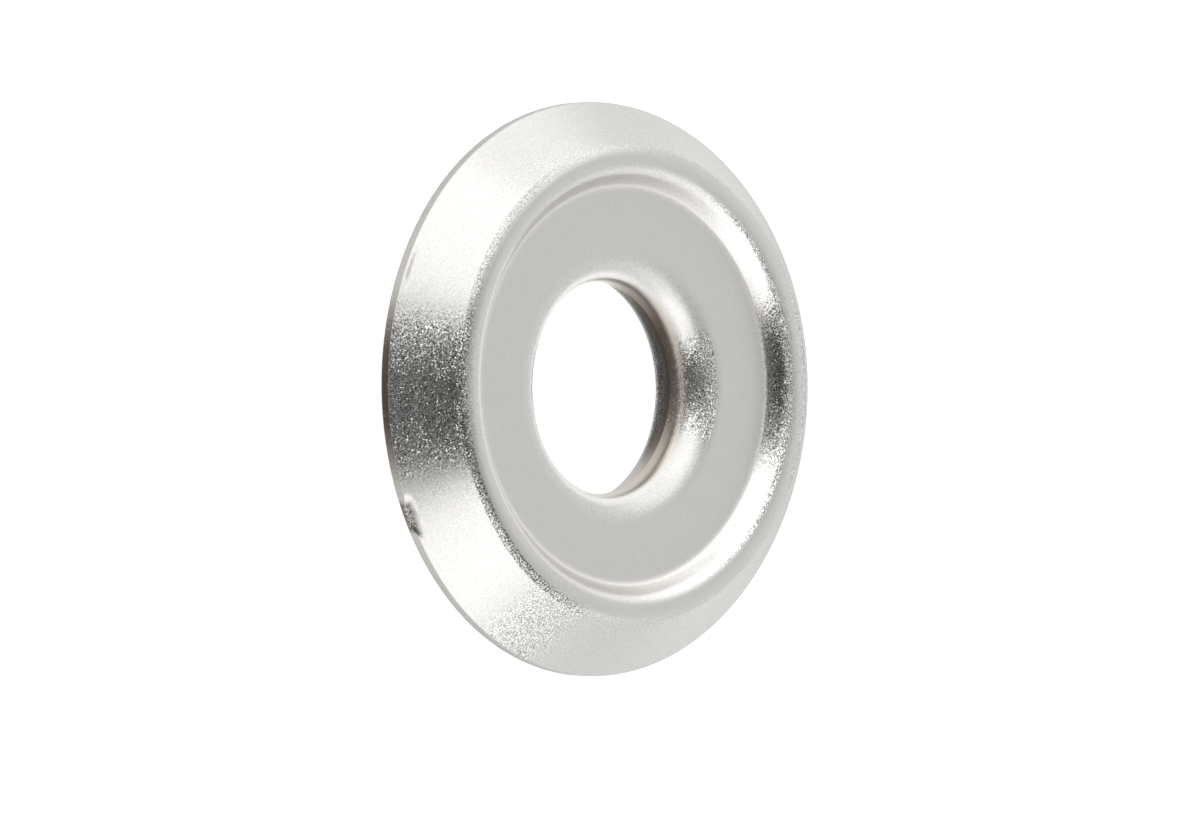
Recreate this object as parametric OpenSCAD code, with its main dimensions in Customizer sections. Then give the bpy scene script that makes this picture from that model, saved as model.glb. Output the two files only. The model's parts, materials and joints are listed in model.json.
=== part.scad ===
// Dished spring washer, pressed from thin steel sheet in one piece. It lies crest up on the end
// of its drawn collar, with the axis of the bore along Z and the collar's end at z = 0.
// One revolved section makes it. From the bore outwards that is the flared collar, the rounded
// lip, the flat web, the crease, the sloping wall, the rounded crest and the conical flange.

/* [Overall] */
// Outside diameter of the flange
rim_d = 23; // [21:0.1:30]
// Height from the collar's end to the top of the crest
height = 3.75; // [3.2:0.05:6]
// Thickness of the sheet
sheet_t = 0.3; // [0.15:0.01:0.5]

/* [Bore and collar] */
// Diameter of the bore at its narrowest, which clears an M8 bolt
bore_d = 8.4; // [5:0.1:12]
// Radius of the rounded lip that leads from the web into the bore, on its upper face
lip_r = 1.35; // [0.8:0.05:1.7]
// Length of the straight part of the bore, under the lip
land_h = 0.35; // [0.1:0.05:0.6]
// Half angle at which the collar flares below the straight part
flare_angle = 18; // [0:1:30]

/* [Web and crest] */
// How far the web's upper face lies below the top of the crest
web_drop = 0.85; // [0.6:0.05:1.2]
// Diameter of the circle along which the crest is highest
crest_d = 17.9; // [14.5:0.1:20]
// Radius of the crest, on its upper face
crest_r = 0.84; // [0.6:0.02:1]
// Slope of the wall between the web and the crest
wall_angle = 55; // [40:1:65]
// Radius of the crease at the foot of the wall, on its upper face
crease_r = 0.25; // [0.1:0.05:0.4]

/* [Flange] */
// How far the rim's upper edge lies below the top of the crest
rim_drop = 2.24; // [1.4:0.02:2.8]

/* [Hidden] */

// Largest turn between two points of a round
arc_step = 5;

rim_r = rim_d / 2;
bore_r = bore_d / 2;
web_z = height - web_drop;
rim_z = height - rim_drop;

// Centres of the lip's and the crest's rounds, as [radius, height]
lip_c = [bore_r + lip_r, web_z - lip_r];
crest_c = [crest_d / 2, height - crest_r];

// The flange is the straight line from the rim's upper edge that touches the crest's round
to_rim = [rim_r, rim_z] - crest_c;
flange_angle = atan2(-to_rim[1], to_rim[0]) + asin(crest_r / norm(to_rim));

// The wall runs from the crest's round down to the web's plane, where the crease rounds it off
wall_top = crest_c + crest_r * [-sin(wall_angle), cos(wall_angle)];
wall_foot_r = wall_top[0] - (wall_top[1] - web_z) / tan(wall_angle);
crease_c = [wall_foot_r - crease_r * tan(wall_angle / 2), web_z + crease_r];

// The collar flares from the lower end of the bore's straight part down to its mouth at z = 0
land_z = lip_c[1] - land_h;
mouth_r = bore_r + land_z * tan(flare_angle);

// Points of a round about c, where angle 0 points up and 90 points away from the axis
function arc(c, r, from, to) =
    let (steps = ceil(abs(to - from) / arc_step))
    [for (i = [0 : steps]) let (a = from + (to - from) * i / steps) c + r * [sin(a), cos(a)]];

// The line that lies d under the sheet's upper face, from the collar's mouth out to the rim
function face_line(d) = concat(
    [[mouth_r + d / cos(flare_angle), 0]],
    [[bore_r + d, land_z + d * tan(flare_angle / 2)]],
    arc(lip_c, lip_r - d, -90, 0),
    arc(crease_c, crease_r + d, 180, 180 - wall_angle),
    arc(crest_c, crest_r - d, -wall_angle, 0),
    arc(crest_c, crest_r - d, arc_step, flange_angle),
    [[rim_r, rim_z - d / cos(flange_angle)]]
);

function reversed(list) = [for (i = [len(list) - 1 : -1 : 0]) list[i]];

module washer() {
    color("gainsboro")
        rotate_extrude($fn = 180)
            polygon(concat(face_line(0), reversed(face_line(sheet_t))));
}

washer();
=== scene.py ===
"""Looks of a dished spring washer: one ring pressed from bright steel sheet, and the studio round it."""

import json
import math

import bpy
from mathutils import Matrix, Vector


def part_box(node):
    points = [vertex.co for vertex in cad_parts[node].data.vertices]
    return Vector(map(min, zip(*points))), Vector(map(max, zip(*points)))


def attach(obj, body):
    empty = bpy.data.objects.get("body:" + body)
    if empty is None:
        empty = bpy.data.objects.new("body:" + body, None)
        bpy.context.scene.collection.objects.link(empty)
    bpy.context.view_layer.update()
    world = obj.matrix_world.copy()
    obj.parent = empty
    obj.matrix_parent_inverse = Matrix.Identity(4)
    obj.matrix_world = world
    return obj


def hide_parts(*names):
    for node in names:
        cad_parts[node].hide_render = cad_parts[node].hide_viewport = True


bl_info = {
    "name": "Dished spring washer",
    "version": (1, 0, 0),
    "blender": (4, 5, 0),
    "location": "View3D > Sidebar > Washer",
    "description": "Makes the pressed washer and its studio round the packed frame",
    "category": "Object",
}

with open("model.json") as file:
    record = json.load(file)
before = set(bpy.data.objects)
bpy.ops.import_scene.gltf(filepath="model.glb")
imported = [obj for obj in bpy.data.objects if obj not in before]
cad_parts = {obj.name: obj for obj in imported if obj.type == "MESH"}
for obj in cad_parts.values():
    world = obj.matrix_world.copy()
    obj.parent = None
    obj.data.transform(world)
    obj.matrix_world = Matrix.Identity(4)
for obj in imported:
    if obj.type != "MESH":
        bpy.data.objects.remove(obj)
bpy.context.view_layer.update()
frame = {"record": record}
NODE_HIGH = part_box("washer")[1]
MOUNTS = {mount["name"]: mount for mount in frame["record"]["mounts"]}
MM = 0.001
HAIR = 0.005 * MM  # how far the pressing stays inside the frame's box

# Kinds of node that are used often, and the setting that makes a range ease in and out.
MATH = "ShaderNodeMath"
VECTOR_MATH = "ShaderNodeVectorMath"
RANGE = "ShaderNodeMapRange"
NOISE = "ShaderNodeTexNoise"
SMOOTH = {"interpolation_type": "SMOOTHSTEP"}

# How far the press stretched the steel, how rough that left it, and where a painted highlight lightens its
# colour. The levels run along the section, and section_stops says how their places are given.
STRETCH = {
    "lip": ((0.0, 0.7), (0.07, 0.9), (0.41, 1.1), (0.60, 1.5), (0.74, 1.5), (0.78, 0.15), (1.0, 0.05)),
    "wall": (
        (-0.5, 0.03), (-0.3, 0.3), (0.0, 1.0), (0.60, 1.3), (0.68, 0.3),
        (1.06, 0.12), (1.35, 0.5), (1.45, 1.7),
    ),
    "flange": ((0.0, 1.7), (0.2, 1.0)),
    "rim": 1.0,
}
ROUGHNESS = {
    "lip": ((0.0, 0.28), (0.3, 0.32), (1.0, 0.36)),
    "wall": ((-0.5, 0.36), (-0.4, 0.42), (-0.13, 0.42), (0.1, 0.28), (1.0, 0.3)),
    "flange": ((0.0, 0.26),),
    "rim": 0.3,
}
# Where the painted highlight lightens the steel: over the crease, the wall and the crest's inner side.
PAINTED_HIGHLIGHT = {"lip": (), "wall": ((-0.5, 0.0), (-0.3, 1.0), (0.5, 1.0), (0.75, 0.0)), "flange": (), "rim": 0.0}

# Levels on the bent screen, as (share of the way from front to back, level). The flanks add to the strip.
SCREEN_STRIP = (
    (0.0, 0.08), (0.16, 0.1), (0.26, 0.3), (0.38, 0.46), (0.51, 0.58),
    (0.64, 0.7), (0.76, 0.9), (0.86, 1.0), (1.0, 1.03),
)
SCREEN_LEFT = (
    (0.0, 1.0), (0.15, 1.0), (0.3, 0.97), (0.4, 0.82), (0.51, 0.62),
    (0.64, 0.52), (0.76, 0.42), (0.86, 0.37), (1.0, 0.35),
)
SCREEN_RIGHT = (
    (0.0, 1.0), (0.15, 1.0), (0.3, 0.97), (0.4, 0.78), (0.51, 0.6),
    (0.64, 0.42), (0.76, 0.26), (0.86, 0.13), (1.0, 0.0),
)
# How far the flanks are drawn out from the strip, along the same way. A smaller share widens the strip.
SPREAD_LEFT = ((0.0, 1.0), (0.4, 1.0), (0.64, 0.8), (0.76, 0.65), (0.86, 0.5), (1.0, 0.33))
SPREAD_RIGHT = ((0.0, 1.0), (0.4, 1.0), (0.55, 0.72), (0.7, 0.78), (1.0, 0.85))

# Oval cards of painted shade on the table, which only the metal sees: name, centre, half widths, colour,
# share at full strength, and place in the pile.
SHADE_CARDS = (
    ("pale_shade_behind", (0, 25 * MM), (16 * MM, 30 * MM), "#E8E8E6", 0.3, 1),
    ("dark_shade_front", (0, -20 * MM), (7 * MM, 16 * MM), "#8F867E", 0.3, 1),
    ("brown_shade_front", (0, -14 * MM), (7 * MM, 3.5 * MM), "#5E4C40", 0.4, 2),
)
TABLE_Z = -0.01 * MM  # just under the washer
CARD_GAP = 0.002 * MM  # from the table to the lowest card, and from card to card


def linear(hex_colour):
    """An sRGB hex colour as the linear RGBA that Blender's colour sockets hold."""
    channels = [int(hex_colour[i : i + 2], 16) / 255 for i in (1, 3, 5)]
    return tuple(c / 12.92 if c <= 0.04045 else ((c + 0.055) / 1.055) ** 2.4 for c in channels) + (1.0,)


def add(tree, kind, inputs=(), stops=(), **settings):
    """Adds a node with its properties and a ramp's (place, level) stops, and fills its inputs.

    The inputs are a list in the node's order or a dict by name. Each is a value, a socket or a node.
    """
    node = tree.nodes.new(kind)
    for name, value in settings.items():
        setattr(node, name, value)
    while stops and len(node.color_ramp.elements) < len(stops):
        node.color_ramp.elements.new(0.5)
    for i, (place, level) in enumerate(stops):
        node.color_ramp.elements[i].position = place
        node.color_ramp.elements[i].color = (level, level, level, 1)
    for name, value in inputs.items() if isinstance(inputs, dict) else enumerate(inputs):
        socket = node.inputs[name]
        if isinstance(value, bpy.types.NodeSocket):
            tree.links.new(value, socket)
        elif isinstance(value, bpy.types.Node):
            tree.links.new(value.outputs[0], socket)
        else:
            socket.default_value = value
    return node


def length(name, description, default):
    """A length in metres, as a property that the sidebar shows."""
    return bpy.props.FloatProperty(
        name=name, description=description, default=default, subtype="DISTANCE", unit="LENGTH", precision=5
    )


def angle(name, description, degrees):
    """An angle, given in degrees and kept in radians."""
    return bpy.props.FloatProperty(
        name=name, description=description, default=math.radians(degrees), subtype="ANGLE", unit="ROTATION"
    )


def colour(name, description, hex_colour):
    """A colour, given as sRGB hex and kept linear."""
    return bpy.props.FloatVectorProperty(
        name=name, description=description, default=linear(hex_colour), size=4, subtype="COLOR", min=0, max=1
    )


def number(name, description, default):
    """A plain number."""
    return bpy.props.FloatProperty(name=name, description=description, default=default)


class WasherSizes(bpy.types.PropertyGroup):
    """The sizes of the pressing."""

    rim_r: length("Rim radius", "Outer radius at the trimmed rim", NODE_HIGH.x - HAIR)
    height: length("Height", "From the collar's end to the top of the crest", NODE_HIGH.z - HAIR)
    bore_r: length("Bore radius", "Radius of the land in the bore", MOUNTS["bore"]["dims"]["r_mm"] * MM)
    web_z: length("Web height", "Height of the flat web's upper face", MOUNTS["web_seat"]["pos_m"][2])
    sheet_t: length("Sheet", "Thickness of the steel sheet", 0.3 * MM)
    lip_r: length("Lip radius", "Radius of the rounded lip of the bore", 1.35 * MM)
    land_h: length("Land", "Height of the straight land under the lip", 0.35 * MM)
    flare: angle("Flare", "How far the collar opens towards its end", 18)
    crest_r: length("Crest radius", "Radius of the crest's rounding", 0.84 * MM)
    crest_ring_r: length("Crest ring", "Radius of the ring that the crest's top runs along", 8.95 * MM)
    wall_angle: angle("Wall angle", "Slope of the wall between crease and crest", 55)
    crease_r: length("Crease radius", "Radius of the crease's hollow", 0.25 * MM)
    rim_drop: length("Rim drop", "From the crest's top down to the rim's upper edge", 2.24 * MM)
    roll_over: length("Roll-over", "Rounding that the trimming press left on the upper edge", 0.09 * MM)
    cut_edge: length("Cut edge", "Rounding of the other cut edges", 0.025 * MM)


class WasherMesh(bpy.types.PropertyGroup):
    """How fine the mesh is."""

    round_step: length("Round step", "Length of a mesh step on the rounds", 0.06 * MM)
    flat_step: length("Flat step", "Length of a mesh step on the straight stretches", 0.3 * MM)
    edge_band: length("Edge band", "Width of the band at the rim that takes the fine step", 0.5 * MM)
    turns: bpy.props.IntProperty(name="Turns", description="Mesh steps round the ring", default=448, min=64)


class WasherWear(bpy.types.PropertyGroup):
    """Where the press wandered, and what it and the bin did to the ring."""

    off_centre: length("Crest off centre", "How far the crest lies off the trimmed rim's centre", 0.12 * MM)
    rim_tilt: length("Rim tilt", "How far the rim stands up at the back and down at the front", 0.18 * MM)
    rim_wander: length("Rim wander", "How far three lobes take the trimmed rim in and out", 0.075 * MM)
    wander_place: angle("Wander place", "Where one of the three lobes stands out, round from the X axis", -22)
    waves: length("Waves", "Depth of the faint waves in the drawn faces", 0.006 * MM)
    wave_size: length("Wave size", "Distance from one faint wave to the next", 1.4 * MM)
    nick_place: angle("Nick place", "Where the rim's upper edge broke away, round from the X axis", -64)
    nick_half: angle("Nick half width", "Half the angle that the broken stretch spans", 4.5)
    nick_depth: length("Nick depth", "How deep the broken stretch lies", 0.22 * MM)
    burr_place: angle("Burr place", "Where a sliver was torn along the rim, round from the X axis", -115.5)
    burr_half: angle("Burr half width", "Half the angle that the torn sliver spans", 5)
    burr_depth: length("Burr groove", "Depth of the groove behind the torn sliver", 0.05 * MM)
    scrape_place: angle("Scrape place", "Where the die scraped the flange, round from the X axis", -27)


class WasherFinish(bpy.types.PropertyGroup):
    """The colours and grain of the steel."""

    steel: colour("Steel", "Bright rolled steel", "#C9C8C5")
    # A painted highlight: the lighter steel colour laid inside the crest.
    painted_highlight: colour("Polished steel", "Steel that the die rubbed bright inside the crest", "#E4E2DE")
    burnished: colour("Burnished steel", "Steel that the punch rubbed brown in the bore", "#BAB3A9")
    sheared: colour("Sheared steel", "Steel where the press cut it", "#BAB8B4")
    # Painted shade: the dark colour of the band along the crest's foot.
    dragged: colour("Dragged steel", "Steel that the die dragged dark", "#3C3C40")
    ripped: colour("Torn steel", "Steel where the rim's edge tore away", "#4B423B")
    hazed: colour("Haze", "Steel in the grooves of the rolled haze", "#595959")
    pebble: length("Pebble", "Size of the pebbles that stretching raised on the faces", 0.075 * MM)
    patch: length("Patch", "Size of the patches over which the pebbles lean more or less", 0.35 * MM)
    lean: number("Pebble lean", "How far the pebbles lean over where the steel stretched most", 3.2)
    brush_length: length("Brush length", "Length of the strokes that rolling left along X", 0.22 * MM)
    brush_width: length("Brush width", "Width of the strokes that rolling left along X", 0.06 * MM)
    die_line: length("Die line", "Distance between the faint lines that the dies drew", 0.05 * MM)
    score_depth: length("Score depth", "Depth of the strokes and the lines", 0.004 * MM)
    # These specks lie in the painted shade band along the crest's foot.
    scuff: length("Scuff", "Size of the specks where the die dragged", 0.07 * MM)


class StudioSizes(bpy.types.PropertyGroup):
    """The table, the lamps and the camera."""

    lean: angle("Lean", "Angle between the line of sight and the washer's axis", 43.9)
    roll: angle("Roll", "How far the camera is turned on its side", 89.1)
    distance: length("Distance", "From the camera to the washer", 0.8)
    field: length("Field", "Width of what the camera sees at the washer", 47.51 * MM)
    aim_right: length("Aim right", "How far the camera aims right of the rim's centre", -0.013 * MM)
    aim_down: length("Aim down", "How far the camera aims below the rim's centre", 0.749 * MM)
    table_half: length("Table", "Half the width of the table and of the bent screen", 3.0)
    screen_r: length("Screen radius", "From the washer to the screen bent over it", 0.52)
    lamp_z: length("Softbox height", "Height of the middle of each softbox", 0.26)
    lamp_tall: length("Softbox size", "From the bottom to the top of each softbox", 0.52)
    left_x: length("Left softbox", "Where the softbox on the left stands", -0.30)
    left_y: length("Left softbox's middle", "How far back the left softbox's middle stands", -0.17)
    left_wide: length("Left softbox's width", "Width of the softbox on the left", 0.70)
    right_x: length("Right softbox", "Where the softbox on the right stands", 0.38)
    right_y: length("Right softbox's middle", "How far back the right softbox's middle stands", -0.10)
    right_wide: length("Right softbox's width", "Width of the softbox on the right", 0.52)
    lamp_level: number("Lamp level", "Radiance of the softboxes, where 1 is white", 1.6)
    bore_card_r: length("Bore card", "Radius of the card under the bore", 4.5 * MM)
    sleeve_gap: length("Sleeve gap", "From the bore's land to the sleeve inside it", 0.05 * MM)


# Below, s stands for the sizes, m for the mesh's fineness, w for the wear and f for the finish.


def facing(slope):
    """The direction that a stretch of the section faces, as (r, z). The slope is its angle off level."""
    return Vector((math.sin(slope), math.cos(slope)))


def meet(line_a, line_b):
    """Where two lines cross. Each line is the direction that it faces and its distance from the origin."""
    (a, da), (b, db) = line_a, line_b
    det = a.x * b.y - a.y * b.x
    return Vector(((da * b.y - db * a.y) / det, (a.x * db - b.x * da) / det))


def flange_slope(s):
    """How far the flange leans over, so that it runs from the rim's upper edge onto the crest's round."""
    to_rim = Vector((s.rim_r - s.crest_ring_r, s.crest_r - s.rim_drop))
    return math.atan2(-to_rim.y, to_rim.x) + math.asin(s.crest_r / to_rim.length)


def face_corners(s, depth):
    """Corners and rounds of one face of the sheet, from the collar's end out, at a depth in the sheet."""
    crest_c = Vector((s.crest_ring_r, s.height - s.crest_r))
    rim_edge = Vector((s.rim_r, s.height - s.rim_drop))
    land_top = Vector((s.bore_r, s.web_z - s.lip_r - s.land_h))
    stretches = (
        (-math.pi / 2 - s.flare, land_top, 0),
        (-math.pi / 2, land_top, 0),
        (0, Vector((0, s.web_z)), 0),
        (-s.wall_angle, crest_c, s.crest_r),
        (flange_slope(s), rim_edge, 0),
    )
    lines = [(facing(slope), facing(slope).dot(point) + reach - depth) for slope, point, reach in stretches]
    collar_end, rim_face = (facing(0), 0), (facing(math.pi / 2), s.rim_r)
    rounds = (s.land_h / 3, s.lip_r - depth, s.crease_r + depth, s.crest_r - depth)
    corners = [(meet(collar_end, lines[0]), s.cut_edge)]
    corners += [(meet(a, b), r) for a, b, r in zip(lines, lines[1:], rounds)]
    corners += [(meet(lines[-1], rim_face), s.cut_edge if depth else s.roll_over)]
    return corners


def rounded(before, corner, after, radius, step):
    """Points of the round that takes a corner off an outline."""
    a, b = (before - corner).normalized(), (after - corner).normalized()
    half = a.angle(b) / 2
    centre = corner + (a + b).normalized() * radius / math.sin(half)
    start = corner + a * radius / math.tan(half) - centre
    turn = start.angle_signed(corner + b * radius / math.tan(half) - centre)
    count = max(3, math.ceil(abs(turn) * radius / step))
    return [centre + Matrix.Rotation(-turn * i / count, 2) @ start for i in range(count + 1)]


def section_outline(s, m):
    """The washer's section as a closed outline of (r, z) points, with a point wherever the mesh needs one."""
    corners = face_corners(s, 0) + face_corners(s, s.sheet_t)[::-1]
    places = [place for place, radius in corners]
    bends = []
    for i, (place, radius) in enumerate(corners):
        bends += rounded(places[i - 1], place, places[(i + 1) % len(places)], radius, m.round_step)
    outline = []
    for a, b in zip(bends, bends[1:] + bends[:1]):
        inner = min(a.x, b.x) < s.rim_r - m.edge_band
        stops = [0, 1]
        if inner and max(a.x, b.x) > s.rim_r - m.edge_band:
            stops.insert(1, (s.rim_r - m.edge_band - a.x) / (b.x - a.x))
        for near, far in zip(stops, stops[1:]):
            c, d = a.lerp(b, near), a.lerp(b, far)
            step = m.flat_step if min(c.x, d.x) < s.rim_r - m.edge_band - HAIR else m.round_step
            count = max(1, math.ceil((d - c).length / step))
            outline += [c.lerp(d, i / count) for i in range(count)]
    return outline


def section_wire(s, m):
    """The washer's section as a closed wire in the XY plane, with x as the radius and y as the height."""
    outline = section_outline(s, m)
    count = len(outline)
    mesh = bpy.data.meshes.new("washer_section")
    mesh.from_pydata([(p.x, p.y, 0) for p in outline], [(i, (i + 1) % count) for i in range(count)], [])
    wire = bpy.data.objects.new("washer", mesh)
    bpy.context.scene.collection.objects.link(wire)
    return wire


SPIN_INPUTS = {
    "Steps round": "NodeSocketInt",
    "Bore radius": "NodeSocketFloat",
    "Rim radius": "NodeSocketFloat",
    "Rim height": "NodeSocketFloat",
    "Sheet": "NodeSocketFloat",
    "Crest ring": "NodeSocketFloat",
    "Crest off centre": "NodeSocketFloat",
    "Rim tilt": "NodeSocketFloat",
    "Rim wander": "NodeSocketFloat",
    "Wander place": "NodeSocketFloat",
    "Waves": "NodeSocketFloat",
    "Wave size": "NodeSocketFloat",
    "Nick place": "NodeSocketFloat",
    "Nick half width": "NodeSocketFloat",
    "Nick depth": "NodeSocketFloat",
    "Burr place": "NodeSocketFloat",
    "Burr half width": "NodeSocketFloat",
    "Burr groove": "NodeSocketFloat",
    "Material": "NodeSocketMaterial",
}


def spun(tree, given):
    """The section swept round the axis. Its wire is turned over first, because a sweep lays Y downwards."""
    around = {"Resolution": given["Steps round"], "Radius": given["Bore radius"]}
    circle = add(tree, "GeometryNodeCurvePrimitiveCircle", around)
    inwards = add(tree, MATH, [0.0, given["Bore radius"]], operation="SUBTRACT")
    inwards = add(tree, "ShaderNodeCombineXYZ", {"X": inwards})
    moved = add(tree, "GeometryNodeTransform", {"Geometry": given["Geometry"], "Translation": inwards})
    turned = add(tree, "GeometryNodeTransform", {"Geometry": moved, "Rotation": (math.pi, 0, 0)})
    section = add(tree, "GeometryNodeMeshToCurve", [turned])
    return add(tree, "GeometryNodeCurveToMesh", {"Curve": circle, "Profile Curve": section})


class PressPlaces:
    """Where a point of the spun section lies, for all the faults that depend on it."""

    def __init__(self, tree):
        self.place = add(tree, "GeometryNodeInputPosition")
        along = add(tree, "ShaderNodeSeparateXYZ", [self.place]).outputs
        flat = add(tree, VECTOR_MATH, [self.place, (1, 1, 0)], operation="MULTIPLY")
        self.radius = add(tree, VECTOR_MATH, [flat], operation="LENGTH").outputs["Value"]
        self.outwards = add(tree, VECTOR_MATH, [flat], operation="NORMALIZE")
        self.bearing = add(tree, MATH, [along["Y"], along["X"]], operation="ARCTAN2")
        self.height = along["Z"]


def near_bearing(tree, bearing, place, half_width):
    """1 at one place round the ring, and 0 from half a width away from it."""
    apart = add(tree, MATH, [bearing, place], operation="SUBTRACT")
    near = add(tree, MATH, [apart], operation="COSINE")
    edge = add(tree, MATH, [half_width], operation="COSINE")
    return add(tree, RANGE, [near, edge, 1.0], **SMOOTH)


def rim_damage(tree, given, at):
    """How far the rim's upper edge sank in its nick and in the groove by the burr, and how torn it is."""
    sheet, rim_z = given["Sheet"], given["Rim height"]
    under = add(tree, MATH, [rim_z, sheet], operation="SUBTRACT")
    top = add(tree, RANGE, [at.height, under, rim_z], **SMOOTH)
    # Distances in from the rim are shares of the sheet's thickness from here on.
    inset = add(tree, MATH, [given["Rim radius"], at.radius], operation="SUBTRACT")
    inset = add(tree, MATH, [inset, sheet], operation="DIVIDE")

    chip_size = 0.25 * MM
    ragged = add(tree, NOISE, {"Vector": at.place, "Scale": 1 / chip_size})
    ragged = add(tree, MATH, [ragged, 0.8, inset], operation="MULTIPLY_ADD")
    chip = add(tree, RANGE, [ragged, 1.2, 0.7], **SMOOTH)
    nick = near_bearing(tree, at.bearing, given["Nick place"], given["Nick half width"])
    nick = add(tree, MATH, [nick, chip], operation="MULTIPLY")

    off_groove = add(tree, MATH, [inset, 0.5], operation="SUBTRACT")
    off_groove = add(tree, MATH, [off_groove], operation="ABSOLUTE")
    in_groove = add(tree, RANGE, [off_groove, 0.3, 0.0], **SMOOTH)
    groove = near_bearing(tree, at.bearing, given["Burr place"], given["Burr half width"])
    groove = add(tree, MATH, [groove, in_groove], operation="MULTIPLY")

    sunk = add(tree, MATH, [groove, given["Burr groove"]], operation="MULTIPLY")
    sunk = add(tree, MATH, [nick, given["Nick depth"], sunk], operation="MULTIPLY_ADD")
    torn = add(tree, MATH, [groove, 0.5], operation="MULTIPLY")
    torn = add(tree, MATH, [nick, torn], operation="MAXIMUM")
    return add(tree, MATH, [sunk, top], operation="MULTIPLY"), torn


def flange_share(tree, given, at):
    """0 inside the crest's ring and 1 at the rim. It rises evenly, so that the flange stays straight."""
    start, easing = 0.12, 0.2  # shares of the way from the crest's ring to the rim
    span = add(tree, MATH, [given["Rim radius"], given["Crest ring"]], operation="SUBTRACT")
    along = add(tree, MATH, [at.radius, given["Crest ring"]], operation="SUBTRACT")
    along = add(tree, MATH, [along, span], operation="DIVIDE")
    along = add(tree, MATH, [along, start], operation="SUBTRACT")
    along = add(tree, MATH, [along, 0.0, easing], operation="SMOOTH_MAX")
    return add(tree, MATH, [along, 1 - start], operation="DIVIDE")


def lobes(tree, given, at):
    """How far the rim stands out round the ring: three lobes and two weaker ones, set inwards as a whole."""
    weaker, inwards = 0.4, 1.3
    three = add(tree, MATH, [at.bearing, given["Wander place"]], operation="SUBTRACT")
    three = add(tree, MATH, [three, 3.0], operation="MULTIPLY")
    three = add(tree, MATH, [three], operation="COSINE")
    two = add(tree, MATH, [at.bearing, 2.0, math.pi / 2], operation="MULTIPLY_ADD")
    two = add(tree, MATH, [two], operation="COSINE")
    both = add(tree, MATH, [two, weaker, three], operation="MULTIPLY_ADD")
    return add(tree, MATH, [both, inwards], operation="SUBTRACT")


def wandered(tree, given, at, damage):
    """How far each point strays, with the crest off centre, a tilted and damaged rim, and faint waves."""
    rising = add(tree, RANGE, [at.radius, given["Bore radius"], given["Crest ring"]], **SMOOTH)
    falling = add(tree, RANGE, [at.radius, given["Rim radius"], given["Crest ring"]], **SMOOTH)
    off = add(tree, MATH, [rising, falling], operation="MINIMUM")
    off = add(tree, MATH, [off, given["Crest off centre"]], operation="MULTIPLY")
    off = add(tree, MATH, [off, -1.0], operation="MULTIPLY")

    flange = flange_share(tree, given, at)
    stray = add(tree, MATH, [lobes(tree, given, at), flange], operation="MULTIPLY")
    stray = add(tree, MATH, [stray, given["Rim wander"]], operation="MULTIPLY")
    stray = add(tree, VECTOR_MATH, {0: at.outwards, "Scale": stray}, operation="SCALE")
    back = add(tree, "ShaderNodeSeparateXYZ", [at.outwards]).outputs["Y"]
    tilt = add(tree, MATH, [back, flange], operation="MULTIPLY")
    tilt = add(tree, MATH, [tilt, given["Rim tilt"]], operation="MULTIPLY")
    lift = add(tree, MATH, [tilt, damage], operation="SUBTRACT")
    shift = add(tree, "ShaderNodeCombineXYZ", {"X": off, "Z": lift})
    shift = add(tree, VECTOR_MATH, [shift, stray], operation="ADD")

    wave_scale = add(tree, MATH, [1.0, given["Wave size"]], operation="DIVIDE")
    swell = add(tree, NOISE, {"Vector": at.place, "Scale": wave_scale})
    dip = add(tree, MATH, [swell, given["Waves"]], operation="MULTIPLY")
    dip = add(tree, MATH, [dip, rising], operation="MULTIPLY")
    facing_out = add(tree, "GeometryNodeInputNormal")
    dent = add(tree, VECTOR_MATH, {0: facing_out, "Scale": dip}, operation="SCALE")
    return add(tree, VECTOR_MATH, [shift, dent], operation="SUBTRACT")


def spin_tree():
    """The node tree that spins a section into a pressing, with the faults of a real one."""
    tree = bpy.data.node_groups.new("Spun pressing", "GeometryNodeTree")
    tree.interface.new_socket("Geometry", in_out="INPUT", socket_type="NodeSocketGeometry")
    for name, kind in SPIN_INPUTS.items():
        tree.interface.new_socket(name, in_out="INPUT", socket_type=kind)
    tree.interface.new_socket("Geometry", in_out="OUTPUT", socket_type="NodeSocketGeometry")
    given = add(tree, "NodeGroupInput").outputs

    at = PressPlaces(tree)
    sunk, torn = rim_damage(tree, given, at)
    shape = spun(tree, given)
    for name, value in (("ring", at.radius), ("torn", torn)):
        stored = {"Geometry": shape, "Name": name, "Value": value}
        shape = add(tree, "GeometryNodeStoreNamedAttribute", stored, data_type="FLOAT", domain="POINT")
    shift = wandered(tree, given, at, sunk)
    shape = add(tree, "GeometryNodeSetPosition", {"Geometry": shape, "Offset": shift})
    shape = add(tree, "GeometryNodeSetShadeSmooth", {"Geometry": shape})
    shape = add(tree, "GeometryNodeRealizeInstances", {"Geometry": shape})
    shape = add(tree, "GeometryNodeSetMaterial", {"Geometry": shape, "Material": given["Material"]})
    add(tree, "NodeGroupOutput", [shape])
    return tree


def run_tree(obj, tree, values):
    """Runs a node tree on an object and keeps the result as its plain mesh."""
    modifier = obj.modifiers.new(tree.name, "NODES")
    modifier.node_group = tree
    for item in tree.interface.items_tree:
        if item.in_out == "INPUT" and item.name in values:
            modifier[item.identifier] = values[item.name]
    shaped = obj.evaluated_get(bpy.context.evaluated_depsgraph_get())
    mesh = bpy.data.meshes.new_from_object(shaped)
    obj.modifiers.remove(modifier)
    obj.data = mesh


def new_material(name):
    """A material with an empty node tree."""
    material = bpy.data.materials.new(name)
    material.use_nodes = True
    material.node_tree.nodes.clear()
    return material, material.node_tree


def wall_r(s):
    """Radius about halfway up the wall, which is one crest radius inside the crest's ring."""
    return s.crest_ring_r - s.crest_r


def flange_r(s):
    """Radius at which the crest's round ends and the flange starts."""
    return s.crest_ring_r + s.crest_r * math.sin(flange_slope(s))


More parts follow.
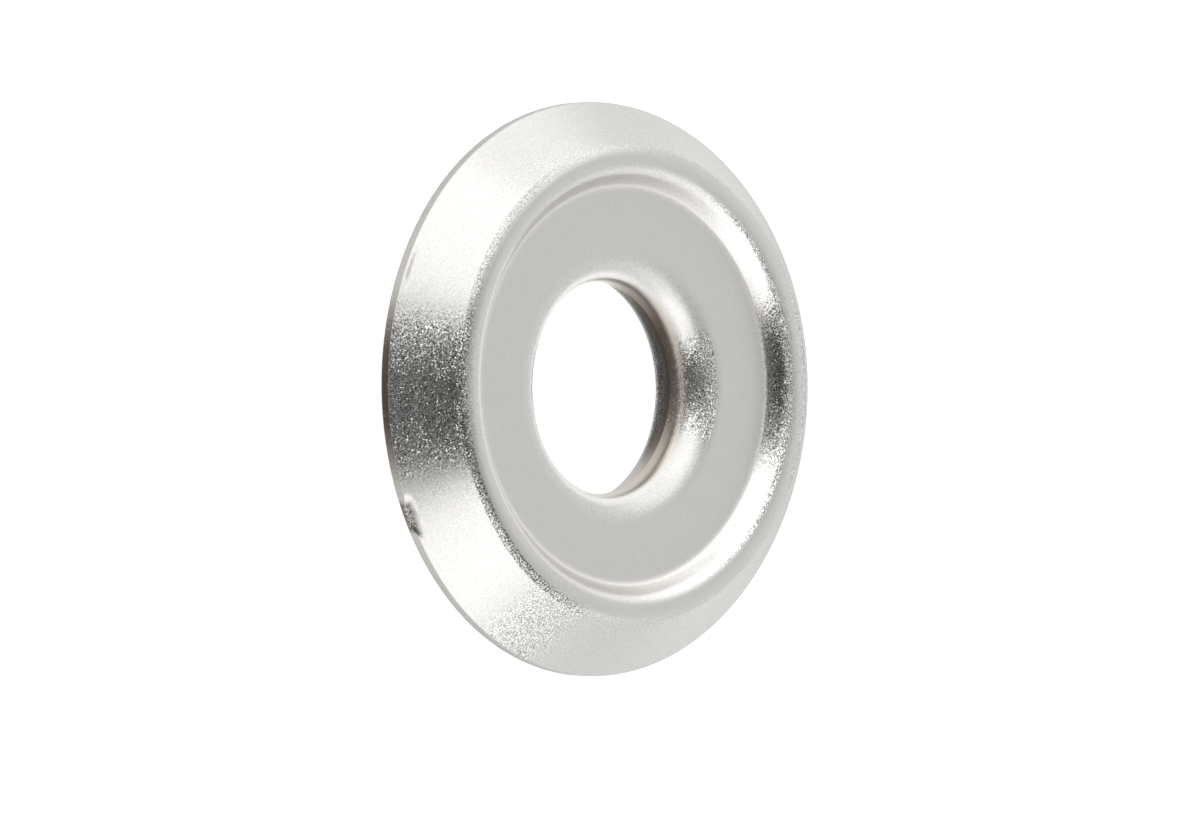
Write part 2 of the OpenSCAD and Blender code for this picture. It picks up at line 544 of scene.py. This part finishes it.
def section_stops(s, lip, wall, flange, rim):
    """Turns levels along the section into (radius, level) stops. The rim has one level.

    The others are (place, level) pairs. On the lip a place is a share of its radius, out from the bore. The
    rest are shares of the crest's radius, out from the middle of the wall or from where the flange starts.
    """
    stretches = ((s.bore_r, s.lip_r, lip), (wall_r(s), s.crest_r, wall), (flange_r(s), s.crest_r, flange))
    stops = [(start + size * share, level) for start, size, levels in stretches for share, level in levels]
    return [*stops, (s.rim_r, rim)]


def by_ring(tree, ring, s, levels):
    """A level that changes with the radius, from levels along the section."""
    outer = s.rim_r + 1 * MM  # the ramp ends a little past the rim
    share = add(tree, MATH, [ring, outer], operation="DIVIDE")
    stops = [(radius / outer, level) for radius, level in section_stops(s, **levels)]
    return add(tree, "ShaderNodeValToRGB", [share], stops=stops)


def ring_band(tree, ring, inner, outer):
    """1 in a band round the ring, and 0 outside it. Each edge is (where it is 0, where it is 1)."""
    inside = add(tree, RANGE, [ring, *inner], **SMOOTH)
    outside = add(tree, RANGE, [ring, *outer], **SMOOTH)
    return add(tree, MATH, [inside, outside], operation="MULTIPLY")


def coated(tree, base, coats):
    """A colour under coats of other colours, each given as (how thick, colour)."""
    for share, coat in coats:
        base = add(tree, "ShaderNodeMix", {0: share, 6: base, 7: coat}, data_type="RGBA").outputs[2]
    return base


class SteelPlaces:
    """Where a point of the steel lies, for all that its finish depends on."""

    def __init__(self, tree):
        self.place = add(tree, "ShaderNodeTexCoord").outputs["Object"]
        self.ring = add(tree, "ShaderNodeAttribute", attribute_name="ring").outputs["Fac"]
        self.height = add(tree, "ShaderNodeSeparateXYZ", [self.place]).outputs["Z"]
        flat = add(tree, VECTOR_MATH, [self.place, (1, 1, 0)], operation="MULTIPLY")
        outwards = add(tree, VECTOR_MATH, [flat], operation="NORMALIZE")
        out = add(tree, "ShaderNodeSeparateXYZ", [outwards]).outputs
        self.out_x, self.out_y = out["X"], out["Y"]


def scored_face(tree, at, f):
    """The haze that rolling brushed along X, and the normal of a face with that haze and the dies' lines."""
    # The strokes are finer than shows, so they are drawn coarser.
    strokes = (1 / f.brush_length, 1 / f.brush_width, 1 / f.brush_width)
    brush = add(tree, "ShaderNodeMapping", {"Vector": at.place, "Scale": strokes})
    haze = add(tree, NOISE, {"Vector": brush, "Scale": 1.0, "Detail": 2.0})
    # The lines run round the axis, each about a twentieth of a turn long.
    per_radian = 3.0
    wound = {
        "X": add(tree, MATH, [at.out_x, per_radian], operation="MULTIPLY"),
        "Y": add(tree, MATH, [at.out_y, per_radian], operation="MULTIPLY"),
        "Z": add(tree, MATH, [at.ring, f.die_line], operation="DIVIDE"),
    }
    wound = add(tree, "ShaderNodeCombineXYZ", wound)
    up = add(tree, MATH, [at.height, f.die_line], operation="DIVIDE")
    lines = {"Vector": wound, "W": up, "Scale": 1.0, "Detail": 1.0}
    lines = add(tree, NOISE, lines, noise_dimensions="4D")
    height = add(tree, MATH, [haze, 0.5, lines], operation="MULTIPLY_ADD")
    return haze, add(tree, "ShaderNodeBump", {"Height": height, "Distance": f.score_depth, "Strength": 1.0})


def foot_shade_band(tree, at, s):
    """Painted shade: a dull dark band along the crest's outer foot, on the front half."""
    inner = (s.crest_ring_r + 0.24 * MM, s.crest_ring_r + 0.36 * MM)
    outer = (flange_r(s) + 0.02 * MM, flange_r(s) - 0.03 * MM)
    aside = add(tree, MATH, [at.out_x], operation="ABSOLUTE")
    foot_shade = ring_band(tree, at.ring, inner, outer)
    for weaker in (
        add(tree, RANGE, [at.out_y, -0.2, -0.65], **SMOOTH),
        add(tree, RANGE, [at.out_x, -0.9, 0.3, 0.4, 1.0], **SMOOTH),
        add(tree, RANGE, [aside, 0.1, 0.4, 0.2, 1.0], **SMOOTH),
    ):
        foot_shade = add(tree, MATH, [foot_shade, weaker], operation="MULTIPLY")
    return foot_shade


def pebble_share(tree, at, s, w, foot_shade):
    """How much the pebbles show. They show most where the stretch crosses the rolling, which runs along X."""
    wall, crest = wall_r(s), s.crest_r
    outside = add(tree, MATH, [at.ring, wall + crest * 0.8], operation="GREATER_THAN")
    front = add(tree, MATH, [outside, -1.0], operation="MULTIPLY")
    front = add(tree, MATH, [at.out_y, front], operation="MULTIPLY")
    front = add(tree, RANGE, [front, 0.93, 0.99], **SMOOTH)
    back = add(tree, RANGE, [at.out_y, 0.86, 0.98, 0.13, 1.0], **SMOOTH)
    share = add(tree, MATH, [back, front], operation="MAXIMUM")
    # Along the top of the crest's inner side they show further round.
    inner, outer = (wall + crest * 0.36, wall + crest * 0.52), (wall + crest * 0.78, wall + crest * 0.66)
    brow = ring_band(tree, at.ring, inner, outer)
    further = add(tree, RANGE, [at.out_y, 0.3, 0.85], **SMOOTH)
    brow = add(tree, MATH, [brow, further], operation="MULTIPLY")
    share = add(tree, MATH, [share, brow], operation="MAXIMUM")
    # They also show where the die scraped the flange.
    near = add(tree, MATH, [at.out_x, math.cos(w.scrape_place)], operation="MULTIPLY")
    near = add(tree, MATH, [at.out_y, math.sin(w.scrape_place), near], operation="MULTIPLY_ADD")
    scraped = add(tree, RANGE, [near, 0.984, 0.998, 0.0, 0.6], **SMOOTH)
    share = add(tree, MATH, [scraped, outside, share], operation="MULTIPLY_ADD")
    share = add(tree, MATH, [share, by_ring(tree, at.ring, s, STRETCH)], operation="MULTIPLY")
    roughened = add(tree, MATH, [foot_shade, 0.45], operation="MULTIPLY")
    return add(tree, MATH, [share, roughened], operation="MAXIMUM")


def pebbled(tree, at, f, normal, share):
    """A normal that leans at random from pebble to pebble. Most pebbles lean a little, and a few lean far."""
    patches = add(tree, NOISE, {"Vector": at.place, "Scale": 1 / f.patch, "Detail": 1.0})
    patchy = add(tree, RANGE, [patches, 0.3, 0.7, 0.55, 1.45], **SMOOTH)
    amount = add(tree, MATH, [share, f.lean], operation="MULTIPLY")
    amount = add(tree, MATH, [amount, patchy], operation="MULTIPLY")
    noise = {"Vector": at.place, "Scale": 1 / f.pebble, "Detail": 1.0, "Roughness": 0.5}
    noise = add(tree, NOISE, noise).outputs["Color"]
    centred = add(tree, VECTOR_MATH, [noise, (0.5, 0.5, 0.5)], operation="SUBTRACT")
    far = add(tree, VECTOR_MATH, [centred], operation="LENGTH").outputs["Value"]
    amount = add(tree, MATH, [amount, far], operation="MULTIPLY")
    lean = add(tree, VECTOR_MATH, {0: centred, "Scale": amount}, operation="SCALE")
    leant = add(tree, VECTOR_MATH, [normal, lean], operation="ADD")
    return add(tree, VECTOR_MATH, [leant], operation="NORMALIZE")


def painted_highlight_share(tree, at, s):
    """Painted highlight: how much lighter the crest's inner side is, which is least towards the left and the
    back.
    """
    # The painted highlight fades towards the left and the back.
    rubbed = add(tree, MATH, [at.out_y, -0.5, at.out_x], operation="MULTIPLY_ADD")
    rubbed = add(tree, RANGE, [rubbed, -0.5, 0.3, 0.6, 1.0], **SMOOTH)
    return add(tree, MATH, [by_ring(tree, at.ring, s, PAINTED_HIGHLIGHT), rubbed], operation="MULTIPLY")


def painted_wall_shade(tree, at, s):
    """Painted shade: how far the wall's colour is darkened at the back."""
    wall, crest = wall_r(s), s.crest_r
    inner, outer = (wall - crest * 0.26, wall - crest * 0.18), (wall + crest * 0.4, wall + crest * 0.16)
    back = add(tree, RANGE, [at.out_y, 0.9, 0.98], **SMOOTH)
    dull = add(tree, MATH, [ring_band(tree, at.ring, inner, outer), back], operation="MULTIPLY")
    return add(tree, MATH, [dull, 0.5], operation="MULTIPLY")


def steel_tint(tree, at, f, s, haze, share, foot_shade):
    """The steel's colour: a painted highlight inside the crest, painted shade on the wall at the back, hazed
    places, flecks between the pebbles that are partly grain and partly painted shade and glints, a painted
    shade band along the crest's foot, and worked edges.
    """
    hazed = add(tree, RANGE, [haze, 0.3, 0.7, 0.0, 0.06], **SMOOTH)
    faces = (
        (painted_highlight_share(tree, at, s), f.painted_highlight),
        # Painted shade: the wall's colour goes halfway to black at the back.
        (painted_wall_shade(tree, at, s), linear("#000000")),
        (hazed, f.hazed),
    )
    tint = coated(tree, f.steel, faces)

    # Darker and lighter flecks where the pebbles show: partly the steel's grain, partly painted shade in the
    # pits between the pebbles and painted glints on them.
    pores = {"Vector": at.place, "Scale": 1.3 / f.pebble, "Detail": 3.0, "Roughness": 0.6}
    pores = add(tree, NOISE, pores)
    shown = add(tree, MATH, [share, 1.0], operation="MINIMUM")
    depth = add(tree, RANGE, [pores, 0.36, 0.64, 0.7, -0.72], **SMOOTH)
    depth = add(tree, MATH, [depth, shown, 1.0], operation="MULTIPLY_ADD")
    tint = add(tree, VECTOR_MATH, {0: tint, "Scale": depth}, operation="SCALE")

    # Dark specks of painted shade in the band along the crest's foot.
    scuff = add(tree, NOISE, {"Vector": at.place, "Scale": 1 / f.scuff, "Detail": 2.0})
    scuff = add(tree, RANGE, [scuff, 0.38, 0.6, 0.95, 0.1], **SMOOTH)
    shaded_specks = add(tree, MATH, [foot_shade, scuff], operation="MULTIPLY")
    in_bore = add(tree, RANGE, [at.ring, s.bore_r + s.lip_r * 0.15, s.bore_r], **SMOOTH)
    at_rim = add(tree, RANGE, [at.ring, s.rim_r - 0.03 * MM, s.rim_r - 0.005 * MM], **SMOOTH)
    torn = add(tree, "ShaderNodeAttribute", attribute_name="torn").outputs["Fac"]
    torn = add(tree, RANGE, [torn, 0.1, 0.8], **SMOOTH)
    specked = add(tree, RANGE, [pores, 0.38, 0.62, 1.0, 0.3], **SMOOTH)
    torn = add(tree, MATH, [torn, specked], operation="MULTIPLY")
    # The painted shade band first, then the worked edges: the burnished bore, the sheared rim and the torn
    # steel.
    shade_band_and_worked_edges = ((shaded_specks, f.dragged), (in_bore, f.burnished), (at_rim, f.sheared), (torn, f.ripped))
    return coated(tree, tint, shade_band_and_worked_edges)


def steel_material(f, s, w):
    """Bright rolled steel, pressed cold.

    The eye sees a soft mirror. The stretched faces pebble, and the sheared edges stay dark and dull.
    """
    material, tree = new_material("bright_pressed_steel")
    at = SteelPlaces(tree)
    haze, scored = scored_face(tree, at, f)
    foot_shade = foot_shade_band(tree, at, s)
    share = pebble_share(tree, at, s, w, foot_shade)
    surface = {
        "Base Color": steel_tint(tree, at, f, s, haze, share, foot_shade),
        "Metallic": 1.0,
        "Roughness": by_ring(tree, at.ring, s, ROUGHNESS),
        "Normal": pebbled(tree, at, f, scored, share),
    }
    shader = add(tree, "ShaderNodeBsdfPrincipled", surface)
    add(tree, "ShaderNodeOutputMaterial", {"Surface": shader})
    return material


class PressWasher(bpy.types.Operator):
    """Press the washer: spin its section, and give it its steel"""

    bl_idname = "washer.press"
    bl_label = "Press washer"

    def execute(self, context):
        scene = context.scene
        sizes, wear = scene.washer_sizes, scene.washer_wear
        washer = section_wire(sizes, scene.washer_mesh)
        run_tree(
            washer,
            spin_tree(),
            {
                "Steps round": scene.washer_mesh.turns,
                "Bore radius": sizes.bore_r,
                "Rim radius": sizes.rim_r,
                "Rim height": sizes.height - sizes.rim_drop,
                "Sheet": sizes.sheet_t,
                "Crest ring": sizes.crest_ring_r,
                "Crest off centre": wear.off_centre,
                "Rim tilt": wear.rim_tilt,
                "Rim wander": wear.rim_wander,
                "Wander place": wear.wander_place,
                "Waves": wear.waves,
                "Wave size": wear.wave_size,
                "Nick place": wear.nick_place,
                "Nick half width": wear.nick_half,
                "Nick depth": wear.nick_depth,
                "Burr place": wear.burr_place,
                "Burr half width": wear.burr_half,
                "Burr groove": wear.burr_depth,
                "Material": steel_material(scene.washer_finish, sizes, wear),
            },
        )
        washer.name = "washer_pressing"
        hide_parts("washer")
        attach(washer, "root")
        return {"FINISHED"}


def stage_mesh(name, points, faces, material, seen_by):
    """A piece of the stage, seen only by the kinds of ray named."""
    mesh = bpy.data.meshes.new(name)
    mesh.from_pydata(points, [], faces)
    mesh.materials.append(material)
    obj = bpy.data.objects.new(name, mesh)
    bpy.context.scene.collection.objects.link(obj)
    for ray in ("camera", "diffuse", "glossy", "transmission", "volume_scatter", "shadow"):
        setattr(obj, "visible_" + ray, ray in seen_by)


def flat_corners(centre, half_x, half_y, z):
    """The corners of a level rectangle."""
    x, y = centre
    ways = ((-1, -1), (1, -1), (1, 1), (-1, 1))
    return [(x + half_x * way_x, y + half_y * way_y, z) for way_x, way_y in ways]


def floor_material():
    """White painted table. It keeps shadows, and what sees it straight or in metal sees it white."""
    lift_seen, lift_in_metal = 0.75, 0.35
    material, tree = new_material("white_table_paint")
    paint = add(tree, "ShaderNodeBsdfDiffuse", {"Color": linear("#EBEBEA")})
    ray = add(tree, "ShaderNodeLightPath").outputs
    in_metal = add(tree, MATH, [ray["Is Glossy Ray"], ray["Is Transmission Ray"]], operation="ADD")
    in_metal = add(tree, MATH, [in_metal, lift_in_metal], operation="MULTIPLY")
    lift = add(tree, MATH, [ray["Is Camera Ray"], lift_seen, in_metal], operation="MULTIPLY_ADD")
    glow = add(tree, "ShaderNodeEmission", {"Strength": lift})
    both = add(tree, "ShaderNodeAddShader", [paint, glow])
    add(tree, "ShaderNodeOutputMaterial", {"Surface": both})
    return material


def glowing_card(tree, shown, glow):
    """Ends a card's material, which is clear wherever the card isn't shown."""
    clear = add(tree, "ShaderNodeBsdfTransparent")
    mixed = add(tree, "ShaderNodeMixShader", [shown, clear, glow])
    add(tree, "ShaderNodeOutputMaterial", {"Surface": mixed})


def in_first_mirror(tree):
    """1 for a ray that comes straight from the first metal it met, and 0 after a second reflection."""
    depth = add(tree, "ShaderNodeLightPath").outputs["Glossy Depth"]
    return add(tree, MATH, [depth, 1.5], operation="LESS_THAN")


def shade_card(name, centre, halves, hex_colour, core, rank):
    """An oval card of painted shade on the table, fading out at its edge. Only the first metal that a ray
    meets shows it.
    """
    material, tree = new_material(name + "_painted_shade")
    place = add(tree, "ShaderNodeTexCoord").outputs["Object"]
    oval = {"Vector": place, "Location": (*centre, 0), "Scale": (*halves, 1)}
    oval = add(tree, "ShaderNodeMapping", oval, vector_type="TEXTURE")
    fade = add(tree, "ShaderNodeTexGradient", [oval], gradient_type="SPHERICAL").outputs["Fac"]
    fade = add(tree, RANGE, [fade, 0.0, 1 - core], **SMOOTH)
    shown = add(tree, MATH, [fade, in_first_mirror(tree)], operation="MULTIPLY")
    glowing_card(tree, shown, add(tree, "ShaderNodeEmission", {"Color": linear(hex_colour)}))
    corners = flat_corners(centre, *halves, TABLE_Z + rank * CARD_GAP)
    stage_mesh(name, corners, [(0, 1, 2, 3)], material, ("glossy",))


def bore_card(radius):
    """A round card under the bore: painted shade, dark along its middle and towards the back, and painted
    light, pale and brighter than white at its sides. It only shows in metal.
    """
    material, tree = new_material("bore_painted_shade_and_light")
    place = add(tree, "ShaderNodeTexCoord").outputs["Object"]
    along = add(tree, "ShaderNodeSeparateXYZ", [place]).outputs
    # Places on the card are in millimetres from here on.
    x, y = (add(tree, MATH, [along[axis], MM], operation="DIVIDE") for axis in "XY")
    slanted = add(tree, MATH, [x, -0.25, y], operation="MULTIPLY_ADD")
    back = add(tree, RANGE, [slanted, 2.0, 3.9, 1.8, 0.1], **SMOOTH)
    aside = add(tree, MATH, [add(tree, MATH, [x, 0.35], operation="ADD")], operation="ABSOLUTE")
    sides = add(tree, RANGE, [aside, 0.4, 1.8, 0.14, 1.08], **SMOOTH)
    front = add(tree, RANGE, [y, -0.4, -1.2], **SMOOTH)
    valley = add(tree, MATH, [sides, front], operation="MAXIMUM")
    leftwards = add(tree, RANGE, [x, -3.5, 3.5, 1.2, 0.62], **SMOOTH)
    within = add(tree, VECTOR_MATH, [place], operation="LENGTH").outputs["Value"]
    # Painted contact shade: dimmer towards the card's edge at the collar's foot.
    level = add(tree, RANGE, [within, 0.75 * radius, radius, 1.0, 0.6], **SMOOTH)
    for share in (back, valley, leftwards):
        level = add(tree, MATH, [level, share], operation="MULTIPLY")
    pale = add(tree, RANGE, [level, 0.05, 0.6], **SMOOTH)
    tone = coated(tree, linear("#9A6F4A"), [(pale, linear("#FFFFFF"))])
    shown = add(tree, MATH, [within, radius], operation="LESS_THAN")
    glowing_card(tree, shown, add(tree, "ShaderNodeEmission", {"Color": tone, "Strength": level}))
    corners = flat_corners((0, 0), radius, radius, TABLE_Z + CARD_GAP)
    stage_mesh("bore_card", corners, [(0, 1, 2, 3)], material, ("glossy",))


def bore_sleeve(radius, high, steps):
    """A sleeve in the bore that glows as a painted reflection of the far side, dim in front. Only the lip
    shows it, as its first reflection of the far side.
    """
    material, tree = new_material("bore_painted_reflection")
    place = add(tree, "ShaderNodeTexCoord").outputs["Object"]
    along = add(tree, "ShaderNodeSeparateXYZ", [place]).outputs
    # Places on the sleeve are shares of its radius from here on.
    x, y = (add(tree, MATH, [along[axis], radius], operation="DIVIDE") for axis in "XY")
    level = add(tree, RANGE, [y, -1.0, -0.08, 0.14, 1.0], **SMOOTH)
    leftwards = add(tree, RANGE, [x, -1.0, 1.0, 1.8, 1.4], **SMOOTH)
    level = add(tree, MATH, [level, leftwards], operation="MULTIPLY")
    pale = add(tree, RANGE, [level, 0.2, 0.9], **SMOOTH)
    tone = coated(tree, linear("#C2B3A3"), [(pale, linear("#FFFFFF"))])
    from_behind = add(tree, "ShaderNodeNewGeometry").outputs["Backfacing"]
    inside = add(tree, MATH, [1.0, from_behind], operation="SUBTRACT")
    shown = add(tree, MATH, [inside, in_first_mirror(tree)], operation="MULTIPLY")
    glowing_card(tree, shown, add(tree, "ShaderNodeEmission", {"Color": tone, "Strength": level}))
    points = []
    for i in range(steps):
        a = 2 * math.pi * i / steps
        points += [(radius * math.cos(a), radius * math.sin(a), z) for z in (0.0, high)]
    ends = [(2 * i, 2 * ((i + 1) % steps)) for i in range(steps)]
    faces = [(a, a + 1, b + 1, b) for a, b in ends]
    stage_mesh("bore_sleeve", points, faces, material, ("glossy",))


def softbox(name, centre, width, height, radiance):
    """A lamp that faces straight across and lights the table. In the metal the screen stands for it."""
    lamp = bpy.data.lights.new(name, "AREA")
    lamp.shape = "RECTANGLE"
    lamp.size, lamp.size_y = width, height
    # An area lamp's radiance is its watts over four times its area.
    lamp.energy = radiance * 4 * width * height
    obj = bpy.data.objects.new(name, lamp)
    obj.location = centre
    across = Vector((-centre[0], 0, 0))
    obj.rotation_euler = across.to_track_quat("-Z", "Y").to_euler()
    bpy.context.scene.collection.objects.link(obj)
    obj.visible_camera = False
    obj.visible_glossy = False


def white_world():
    """A white backdrop all round, plain for every ray that sees it, and dimmer as a lamp."""
    world = bpy.data.worlds.new("white_backdrop")
    bpy.context.scene.world = world
    world.use_nodes = True
    tree = world.node_tree
    tree.nodes.clear()
    ray = add(tree, "ShaderNodeLightPath").outputs
    seen = add(tree, MATH, [ray["Is Camera Ray"], ray["Is Glossy Ray"]], operation="ADD")
    seen = add(tree, MATH, [seen, ray["Is Transmission Ray"]], operation="ADD")
    seen = add(tree, MATH, [seen, 1.0], operation="MINIMUM")
    as_lamp = 0.4
    strength = add(tree, MATH, [seen, 1 - as_lamp, as_lamp], operation="MULTIPLY_ADD")
    glow = add(tree, "ShaderNodeBackground", {"Color": linear("#FFFFFF"), "Strength": strength})
    add(tree, "ShaderNodeOutputWorld", {"Surface": glow})


def place_camera(studio, sizes):
    """The camera looks down on the washer. It is turned on its side, so that the axis points right."""
    turn = Matrix.Rotation(studio.lean, 4, "X") @ Matrix.Rotation(studio.roll, 4, "Z")
    right, up, back = (turn.to_3x3() @ Vector(axis) for axis in ((1, 0, 0), (0, 1, 0), (0, 0, 1)))
    rim_centre = Vector((0, 0, sizes.height - sizes.rim_drop))
    aim = rim_centre + right * studio.aim_right - up * studio.aim_down
    lens = bpy.data.cameras.new("camera")
    lens.lens = lens.sensor_width * studio.distance / studio.field
    lens.clip_start, lens.clip_end = studio.distance / 10, studio.distance * 10
    camera = bpy.data.objects.new("camera", lens)
    camera.matrix_world = Matrix.Translation(aim + back * studio.distance) @ turn
    bpy.context.scene.collection.objects.link(camera)
    bpy.context.scene.camera = camera


def bent_screen(radius, half_width, steps):
    """A screen bent over the X axis, from just under the horizon in front to just under it behind."""
    under = math.radians(1)
    points = []
    for i in range(steps + 1):
        a = (math.pi + 2 * under) * i / steps - under
        points += [(x, -radius * math.cos(a), radius * math.sin(a)) for x in (-half_width, half_width)]
    faces = [(2 * i, 2 * i + 1, 2 * i + 3, 2 * i + 2) for i in range(steps)]
    stage_mesh("bent_screen", points, faces, screen_material(radius), ("glossy",))


def screen_flank(tree, x, back, spread, levels, start, full):
    """One bright flank of the screen. Its place across the screen is where it starts and where it is full."""
    drawn = add(tree, "ShaderNodeValToRGB", [back], stops=spread)
    drawn = add(tree, MATH, [x, drawn], operation="MULTIPLY")
    flank = add(tree, RANGE, [drawn, start, full], **SMOOTH)
    level = add(tree, "ShaderNodeValToRGB", [back], stops=levels)
    return add(tree, MATH, [level, flank], operation="MULTIPLY")


def screen_material(radius):
    """Cloth with a dark strip that runs up its front and pales to the back, between bright flanks."""
    flank_level = 1.72
    material, tree = new_material("studio_screen_cloth")
    place = add(tree, "ShaderNodeTexCoord").outputs["Object"]
    along = add(tree, "ShaderNodeSeparateXYZ", [place]).outputs
    x = add(tree, MATH, [along["X"], radius], operation="DIVIDE")
    back = add(tree, MATH, [along["Y"], 0.5 / radius, 0.5], operation="MULTIPLY_ADD")
    strip = add(tree, "ShaderNodeValToRGB", [back], stops=SCREEN_STRIP)
    left = screen_flank(tree, x, back, SPREAD_LEFT, SCREEN_LEFT, -0.16, -0.66)
    right = screen_flank(tree, x, back, SPREAD_RIGHT, SCREEN_RIGHT, 0.40, 0.74)
    flanks = add(tree, MATH, [left, right], operation="ADD")
    level = add(tree, MATH, [flanks, flank_level, strip], operation="MULTIPLY_ADD")
    glow = add(tree, "ShaderNodeEmission", {"Strength": level})
    add(tree, "ShaderNodeOutputMaterial", {"Surface": glow})
    return material


class BuildStudio(bpy.types.Operator):
    """Set up the white table, the softboxes, the bent screen, the cards and sleeve of painted shade and light
    that only the metal sees, and the camera
    """

    bl_idname = "washer.studio"
    bl_label = "Build studio"

    def execute(self, context):
        studio, sizes = context.scene.washer_studio, context.scene.washer_sizes
        corners = flat_corners((0, 0), studio.table_half, studio.table_half, TABLE_Z)
        seen_by = ("camera", "diffuse", "glossy", "transmission", "shadow")
        stage_mesh("table", corners, [(0, 1, 2, 3)], floor_material(), seen_by)
        white_world()
        high, tall, level = studio.lamp_z, studio.lamp_tall, studio.lamp_level
        softbox("softbox_left", (studio.left_x, studio.left_y, high), studio.left_wide, tall, level)
        softbox("softbox_right", (studio.right_x, studio.right_y, high), studio.right_wide, tall, level)
        bent_screen(studio.screen_r, studio.table_half, steps=90)
        for card in SHADE_CARDS:
            shade_card(*card)
        bore_card(studio.bore_card_r)
        bore_sleeve(sizes.bore_r - studio.sleeve_gap, sizes.web_z, steps=96)
        place_camera(studio, sizes)
        context.scene.view_settings.view_transform = "Standard"
        return {"FINISHED"}


class WasherPanel(bpy.types.Panel):
    """Lists what the washer's operators make"""

    bl_idname = "VIEW3D_PT_washer"
    bl_label = "Washer"
    bl_space_type = "VIEW_3D"
    bl_region_type = "UI"
    bl_category = "Washer"

    def draw(self, context):
        for operator in OPERATORS:
            self.layout.operator(operator.bl_idname)


GROUPS = {
    "washer_sizes": WasherSizes,
    "washer_mesh": WasherMesh,
    "washer_wear": WasherWear,
    "washer_finish": WasherFinish,
    "washer_studio": StudioSizes,
}
OPERATORS = (PressWasher, BuildStudio)


def register():
    for name, group in GROUPS.items():
        bpy.utils.register_class(group)
        setattr(bpy.types.Scene, name, bpy.props.PointerProperty(type=group))
    for cls in (*OPERATORS, WasherPanel):
        bpy.utils.register_class(cls)


def unregister():
    for cls in (WasherPanel, *reversed(OPERATORS)):
        bpy.utils.unregister_class(cls)
    for name, group in GROUPS.items():
        delattr(bpy.types.Scene, name)
        bpy.utils.unregister_class(group)


def main():
    register()
    bpy.ops.washer.press()
    bpy.ops.washer.studio()


if __name__ == "__main__":
    main()
